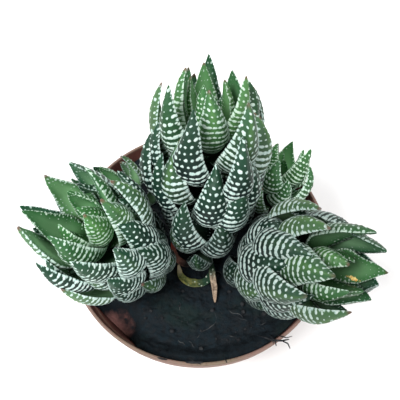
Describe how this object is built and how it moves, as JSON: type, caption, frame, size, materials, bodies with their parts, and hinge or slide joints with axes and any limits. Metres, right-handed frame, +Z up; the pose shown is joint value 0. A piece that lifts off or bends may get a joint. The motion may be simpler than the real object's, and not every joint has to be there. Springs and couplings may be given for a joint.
{
  "type": "potted haworthia",
  "caption": "Banded haworthia with leaning rosettes, small offsets and withered leaves, standing in dark soil in a shallow tapered plastic pot.",
  "frame": {"origin": "centre of the underside of the pot", "axes": "+Z up, the way the plant grows; -Y towards the side from which the rosettes show best; +X to the right seen from there"},
  "size_m": [0.145, 0.12, 0.1455],
  "materials": {
    "pot": "matt terracotta-coloured plastic, dusty at the rim",
    "soil": "dark, damp, crumbly potting soil",
    "leaves": "waxy dark green with raised white bands",
    "young_leaves": "waxy fresh green with small white bands",
    "withered_red": "dry, wrinkled, red-brown",
    "withered_green": "half-dry, yellow-green with a pale tip",
    "withered_tan": "dry, papery, tan"
  },
  "bodies": {
    "root": {"pot": "pot", "soil": "soil", "stem_centre": "leaves", "stem_left": "leaves", "stem_right": "leaves", "stem_back_right": "young_leaves", "stem_back_left": "leaves", "withered_leaf_red": "withered_red", "withered_leaf_curled": "withered_green", "withered_leaf_tan": "withered_tan"}
  },
  "joints": []
}
